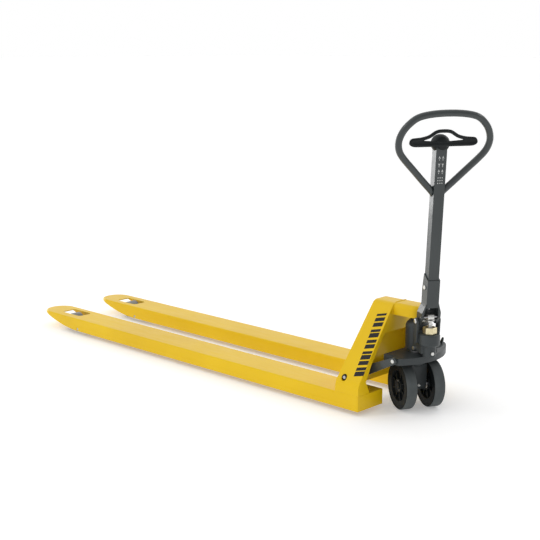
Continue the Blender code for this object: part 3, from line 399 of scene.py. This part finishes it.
EDGES = (       # a material, the width of the rounded edges, and the nodes that have them
    (YELLOW, 0.0014, (*both("fork"), "bulkhead", "ram_bracket")),
    (YELLOW, 0.0008, both("heel_plate")),
    (GREY, 0.0010, both("rocker_arm", "rod_lever", "load_arm")),
    (GREY, 0.0020, ("tiller_column",)),
    (GREY, 0.0008, ("tiller_socket",)),
    (GREY, 0.0005, ("valve_lever",)),
    (CASTING, 0.0016, ("yoke_plate",)),
    (STEEL, 0.0004, both("arm_pin", "lever_pin", "push_rod", "rod_pin", "roller_axle",
                         "wheel_bearing")),
    (STEEL, 0.0004, ("rocker_shaft", "thrust_bearing", "wheel_axle", "ram", "cam_pin", "lever_pin",
                     "control_rod")),
    (ZINC, 0.0004, (*both("yoke_bolt"), "grease_nipple", "tiller_pin", "filler_plug", "bleed_screw",
                    "plunger", "socket_bolt", "cam_roller")),
    (BRASS, 0.0008, ("gland_nut",)),
    (HUB, 0.0006, both("shaft_bush", "axle_cap", "wheel_hub")),
    (NYLON, 0.0008, both("load_roller")),
)


def dress_frame():
    for look, edge, nodes in EDGES:
        for node in nodes:
            dress(node, look, edge)
    cast("pump_body", CASTING, voxel=0.0014, rounds=5)
    cast("axle_carrier", CASTING, voxel=0.0016, rounds=6)
    paint("plunger_spring", STEEL).data.shade_smooth()


def smooth_loop():
    """The loop handle's tube, rounded by one subdivision."""
    obj = paint("handle_loop", GREY)
    obj.data.shade_smooth()
    weld(obj)
    rounding = obj.modifiers.new("rounding", "SUBSURF")
    rounding.levels = rounding.render_levels = 1


# ================================================================ finger lever
RIM = 0.0070                # radius of the bar that edges the lever
RIM_AHEAD = 0.030           # how far the wings stand ahead of the lever's axis
WEB = 0.0084                # thickness of the plate inside the rim
WINGS_LOW, WINGS_HIGH = 0.0050, 0.0230      # the wings' edges, from the axis up
WING_ROOT = 0.030           # where a wing leaves the hub, from the middle
DOME, DOME_HALF, DOME_UP = 0.0355, 0.0375, 0.0085   # radius, half width and rise of the hub's dome
HOLLOW_REACH = 0.0258       # the hub's hollow ahead of the axis and behind it
HOLLOW_SIDE = 0.0012        # clearance between the column and the hollow's sides
HOLLOW_LOW, HOLLOW_HEIGHT = -0.06, 0.0750


def lever_rim(bm, at, half, top):
    """Adds the rim: out along the wings' lower edge, round their ends and up over the hub."""
    wing = [(WING_ROOT, WINGS_LOW), (half * 0.55, WINGS_LOW), (half * 0.88, WINGS_LOW + 0.0005),
            (half * 0.985, WINGS_LOW + 0.0055), (half, (WINGS_LOW + WINGS_HIGH) / 2 + 0.002),
            (half * 0.96, WINGS_HIGH + 0.0015), (half * 0.84, WINGS_HIGH + 0.0035),
            (half * 0.66, WINGS_HIGH + 0.0060), (half * 0.44, WINGS_HIGH + 0.0140),
            (half * 0.22, top - 0.0095)]
    rise = [at(across, z) for across, z in wing]
    fall = [at(-across, z) for across, z in wing[::-1]]
    ring_bar(bm, rise + [at(0, top - 0.0062)] + fall, RIM)


def lever_webs(bm, at, half):
    """Adds the plates that fill the two wings inside the rim."""
    web = [(0.0, WINGS_LOW), (half * 0.93, WINGS_LOW), (half * 0.98, WINGS_LOW + 0.010),
           (half * 0.94, WINGS_HIGH), (half * 0.70, WINGS_HIGH), (WING_ROOT, WINGS_HIGH - 0.004),
           (0.0, WINGS_HIGH - 0.004)]
    for sign in (-1, 1):
        slab(bm, [at(sign * across, z, RIM_AHEAD - WEB / 2) for across, z in web], AHEAD * WEB)


def lever_dome(bm, axis_at):
    """Adds the hub's dome over the top of the column."""
    last, steps = math.radians(78), 9
    dome = [(DOME * math.cos(a), DOME_HALF * math.sin(a))
            for a in (last * k / steps for k in range(steps + 1))]
    disc(bm, [(r, -w) for r, w in dome[:0:-1]] + dome, axis_at + UP * DOME_UP, ACROSS, 64)


def hollow_out(lever, at, half):
    """Cuts the slot that the column's head stands in, and applies the lever's modifiers."""
    hollow = bmesh.new()
    corners = [at(-half, HOLLOW_LOW, -HOLLOW_REACH), at(half, HOLLOW_LOW, -HOLLOW_REACH),
               at(half, HOLLOW_LOW, HOLLOW_REACH), at(-half, HOLLOW_LOW, HOLLOW_REACH)]
    slab(hollow, corners, UP * HOLLOW_HEIGHT)
    bmesh.ops.recalc_face_normals(hollow, faces=hollow.faces)
    cutter = mesh_object("lever_hollow", hollow)
    cutter.hide_render = True
    cutter.parent = lever
    cutter.matrix_parent_inverse = lever.matrix_world.inverted()
    cut = lever.modifiers.new("hollow", "BOOLEAN")
    cut.object = cutter
    cut.operation = "DIFFERENCE"
    depsgraph = bpy.context.evaluated_depsgraph_get()
    final = bpy.data.meshes.new_from_object(lever.evaluated_get(depsgraph))
    lever.modifiers.clear()
    lever.data = final
    bpy.data.objects.remove(cutter)


def make_control_lever():
    """Finger lever: a rim that runs round both wings and arches over a domed, hollow hub."""
    node = "control_lever"
    axis_at = joint_at("control_lever_tilt")
    half = span(node, ACROSS, axis_at)[1] - 0.0075
    top = span(node, UP, axis_at)[1]

    def at(across, z, ahead=RIM_AHEAD):
        return axis_at + AHEAD * ahead + ACROSS * across + UP * z

    bm = bmesh.new()
    lever_rim(bm, at, half, top)
    lever_webs(bm, at, half)
    lever_dome(bm, axis_at)
    lever = piece("finger_lever", bm, BLACK, "control_lever_body")
    soften(lever, voxel=0.0011, rounds=4)
    hollow_out(lever, at, span("tiller_column", ACROSS, axis_at)[1] + HOLLOW_SIDE)
    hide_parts(node)


# ================================================================ wheels
def make_tyre(word):
    """Cast-on tread band with rounded shoulders and slightly sunk black side faces."""
    centre = joint_at(f"wheel_{word}_spin")
    tyre = f"tyre_{word}"
    radius = span(tyre, UP, centre)[1]
    low, high = span(tyre, ACROSS, centre)
    hub_gap = 0.0003
    inner = span(f"wheel_hub_{word}", UP, centre)[1] + hub_gap
    shoulder, half, middle = 0.0058, (high - low) / 2, (high + low) / 2
    arc = [(radius - shoulder + shoulder * math.cos(a), half - shoulder + shoulder * math.sin(a))
           for a in (math.pi / 2 * i / 6 for i in range(7))]
    side = arc + [(radius - 0.0085, half - 0.0002), (inner + 0.0020, half - 0.0010),
                  (inner, half - 0.0016)]
    profile = [(r, middle + w) for r, w in side] + [(r, middle - w) for r, w in side[::-1]]
    tread = piece(f"tread_{word}", turned(bmesh.new(), profile, centre, ACROSS, 128),
                  TREAD, f"wheel_{word}", 28.0)
    tread.data.materials.append(SIDEWALL)
    for face in tread.data.polygons:
        if abs(face.normal.dot(ACROSS)) > 0.80:
            face.material_index = 1
    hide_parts(tyre)


def make_hub_ribs(word):
    """Ribs between a wheel's boss and its rim, on both faces of the hub."""
    hub = f"wheel_hub_{word}"
    centre = joint_at(f"wheel_{word}_spin")
    low, high = span(hub, ACROSS, centre)
    first, second = axes_of(ACROSS)
    bm = bmesh.new()
    count, start, end, thick = 8, 0.0290, 0.0640, 0.0022
    crest, root = 0.0035, 0.0115        # how far below the hub's face a rib starts and ends
    for face, sign in ((low, -1), (high, 1)):
        for i in range(count):
            angle = 2 * math.pi * (i + 0.5) / count
            out = first * math.cos(angle) + second * math.sin(angle)
            sideways = ACROSS.cross(out) * thick / 2
            top, floor = ACROSS * (face - sign * crest), ACROSS * (face - sign * root)
            corners = [centre + out * start + top, centre + out * end + top,
                       centre + out * end + floor, centre + out * start + floor]
            slab(bm, [c - sideways for c in corners], sideways * 2)
    piece(f"hub_ribs_{word}", bm, HUB, f"wheel_{word}")


# ================================================================ dressing
FILM_GAP = 0.00004          # between a printed mark and the surface under it


def make_cheek_bars(word, side):
    """A plain row of slanted black bars of different heights up the bulkhead's cheek."""
    at, out = widest_face("bulkhead", lambda n: n.y * side > 0.5 and 0.3 < n.z < 0.8)
    slope = Vector((0, -side * out.z, abs(out.y))).normalized()
    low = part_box("bulkhead")[0]
    bm = bmesh.new()
    heights = (1.0, 0.7, 0.9, 1.0, 0.6, 0.9, 0.7, 1.0, 0.6, 0.9, 0.8, 0.5)
    step, share, length, slant, film = 0.0248, 0.84, 0.0450, 0.0120, 0.00022
    first_z, inset, front_slope = 0.158, 0.0840, -0.064
    for i, height in enumerate(heights):
        z = first_z + i * step * abs(slope.z)
        base = at + slope * ((z - at.z) / slope.z)
        base.x = low.x + (z - low.z) * front_slope + inset
        rise = step * share * height
        corners = [base, base + TO_HEAD * length + slope * slant,
                   base + TO_HEAD * length + slope * (slant + rise), base + slope * rise]
        slab(bm, [c + out * FILM_GAP for c in corners], out * film)
    piece(f"cheek_bars_{word}", bm, INK, "chassis")


def column_face():
    """A point on the column's front face, its up direction and its outward direction."""
    at, out = widest_face("tiller_column", lambda n: n.dot(AHEAD) > 0.9)
    return at, out.cross(ACROSS).normalized(), out


def make_column_marks():
    """Generic use marks on the column: three pairs of arrows, and three rows of dots below them."""
    at, rise, out = column_face()
    bm = bmesh.new()

    def middle(z):
        """The point of the face's centre line at a height."""
        point = at + rise * ((z - at.z) / rise.z)
        return point - ACROSS * (point - STEER_AT).dot(ACROSS)

    def plate(base, points):
        corners = [base + ACROSS * u + rise * v + out * FILM_GAP for u, v in points]
        slab(bm, corners, out * 0.00018)

    top, arrow_step, dot_step = 1.054, 0.026, 0.0105
    for i, tip in enumerate((1, -1, 1)):
        base = middle(top - i * arrow_step)
        for lat in (-0.0075, 0.0075):
            head = [(lat - 0.0046, -0.004 * tip), (lat, 0.007 * tip), (lat + 0.0046, -0.004 * tip),
                    (lat, -0.0012 * tip)]
            plate(base, head[::tip])
            plate(base, [(lat - 0.0012, -0.0105), (lat + 0.0012, -0.0105),
                         (lat + 0.0012, -0.0055), (lat - 0.0012, -0.0055)])
    dot, sides = 0.0016 * 1.4, 12
    for i in range(3):
        base = middle(top - 3 * arrow_step - i * dot_step)
        for lat in (-0.0090, 0.0, 0.0090):
            plate(base, [(lat + dot * math.cos(a), dot * math.sin(a))
                         for a in (2 * math.pi * k / sides for k in range(sides))])
    piece("column_marks", bm, MARKS, "tiller")


def make_heel_weld(word, side):
    """The bead where the bulkhead's front stands on a fork."""
    fork_low, fork_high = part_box(f"fork_{word}")
    inner = fork_low.y if side > 0 else fork_high.y
    front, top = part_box("bulkhead")[0].x - 0.0010, fork_high.z + 0.0008
    ends = [Vector((front, inner + side * reach, top)) for reach in (0.012, 0.146)]
    piece(f"heel_weld_{word}", bead(bmesh.new(), ends, 0.0030), YELLOW, "chassis")


def make_loop_weld(word, side):
    """The bead round the loop's foot where it meets the column's side."""
    face, _, out = column_face()
    half = span("tiller_column", ACROSS, joint_at("tiller_swing"))[1] + 0.0010
    loop_ahead, loop_lean, loop_foot = 0.134, 0.270, 0.900      # the loop's leg, from the head's axis
    foot_z, ring, oval, count = 0.9215, 0.0150, 1.25, 20
    behind_face = 0.002
    hub = Vector((STEER_AT.x, STEER_AT.y, foot_z)) + ACROSS * (side * half)
    hub += AHEAD * (loop_ahead + (foot_z - loop_foot) * loop_lean)
    points = [hub + AHEAD * (ring * math.cos(a)) + UP * (ring * oval * math.sin(a))
              for a in (math.radians(200) * (k / count) + math.radians(80)
                        for k in range(count + 1))]
    points = [p for p in points if (p - face).dot(out) < -behind_face]
    piece(f"loop_weld_{word}", bead(bmesh.new(), points, 0.0020), GREY, "tiller")


def make_bracket_weld():
    """The bead up one side of the ram bracket's root, over its top and down the other side."""
    low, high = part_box("ram_bracket")
    middle, proud = (low.y + high.y) / 2, 0.0008
    foot, corner = 0.004, 0.0190        # the bead's ends, and the height of its rounded corners
    seam = [Vector((low.x, middle + (high.y - middle + proud) * u,
                    low.z + foot if v == 0 else high.z - corner + corner * v))
            for u, v in ((-1.0, 0), (-1.0, 0.05), (-0.93, 0.55), (-0.62, 1.0), (0.62, 1.0),
                         (0.93, 0.55), (1.0, 0.05), (1.0, 0))]
    piece("bracket_weld", bead(bmesh.new(), seam, 0.0026), YELLOW, "chassis")


# ================================================================ studio
FLOOR_REACH = 120.0
FLOOR_GLOW = 0.26
DIM_SIDE = {"From Min": -0.1, "From Max": 0.8, "To Min": 1.0, "To Max": 0.50}   # darker towards +X
LIGHTS_AIM = Vector((0, 0, 0.4))
LIGHTS = (      # name, place, width, height and watts of each soft box
    ("key", (-1.2, -3.4, 4.6), 0.9, 0.9, 22),
    ("rim", (1.6, 4.4, 3.6), 2.0, 1.0, 14),
    ("strip", (-4.6, 0.5, 0.8), 1.6, 1.6, 34),
    ("side", (3.8, 1.8, 2.6), 0.5, 1.0, 7),
)


def make_floor():
    bm = bmesh.new()
    bmesh.ops.create_grid(bm, x_segments=1, y_segments=1, size=FLOOR_REACH)
    floor = mesh_object("floor", bm)
    floor.location.z = -0.0002
    material, tree, shader = new_material("studio_floor")
    grain = texture(tree, NOISE, scale=3.0, Detail=2.0)
    colour = ramp(tree, grain.outputs["Fac"], low=0.3, high=0.7, dark=0.86, light=0.88)
    tree.links.new(colour, shader.inputs["Base Color"])
    shader.inputs["Roughness"].default_value = 0.9
    shader.inputs["Specular IOR Level"].default_value = 0.1
    shader.inputs["Emission Color"].default_value = (1, 1, 1, 1)
    shader.inputs["Emission Strength"].default_value = FLOOR_GLOW
    floor.data.materials.append(material)


def make_walls():
    """White surroundings, with the walls towards +X darker than the rest."""
    world = bpy.data.worlds.new("studio")
    bpy.context.scene.world = world
    world.use_nodes = True
    tree = world.node_tree
    background = tree.nodes["Background"]
    coordinates = tree.nodes.new("ShaderNodeTexCoord")
    heading = tree.nodes.new("ShaderNodeSeparateXYZ")
    fall = tree.nodes.new("ShaderNodeMapRange")
    tree.links.new(coordinates.outputs["Generated"], heading.inputs["Vector"])
    tree.links.new(heading.outputs["X"], fall.inputs["Value"])
    for key, value in DIM_SIDE.items():
        fall.inputs[key].default_value = value
    tree.links.new(fall.outputs["Result"], background.inputs["Color"])
    background.inputs["Strength"].default_value = 1.0


def aim(obj, place, target):
    """Puts a lamp or the camera at a place, looking at a target."""
    obj.location = place
    obj.rotation_euler = (target - place).to_track_quat("-Z", "Y").to_euler()
    bpy.context.scene.collection.objects.link(obj)


def make_lights():
    for name, place, width, height, watts in LIGHTS:
        light = bpy.data.lights.new(name, "AREA")
        light.shape = "RECTANGLE"
        light.size, light.size_y = width, height
        light.energy = watts
        lamp = bpy.data.objects.new(name, light)
        lamp.visible_camera = False
        aim(lamp, Vector(place), LIGHTS_AIM)


def make_camera():
    camera = bpy.data.cameras.new("camera")
    camera.lens, camera.sensor_width = 73.5, 36.0
    camera.shift_x, camera.shift_y = -0.0091, 0.0100
    obj = bpy.data.objects.new("camera", camera)
    place = Vector((2.608 + STEER_AT.x, -3.582 + STEER_AT.y, 1.476))
    target = Vector((-1.284 + STEER_AT.x, 0.495 + STEER_AT.y, 0.300))
    aim(obj, place, target)
    bpy.context.scene.camera = obj
    bpy.context.scene.view_settings.view_transform = "Standard"


dress_frame()
smooth_loop()
for side_word, side_sign in SIDES:
    make_tyre(side_word)
    make_hub_ribs(side_word)
    make_cheek_bars(side_word, side_sign)
make_control_lever()
make_column_marks()
for side_word, side_sign in SIDES:
    make_heel_weld(side_word, side_sign)
for side_word, side_sign in SIDES:
    make_loop_weld(side_word, side_sign)
make_bracket_weld()
make_floor()
make_walls()
make_lights()
make_camera()
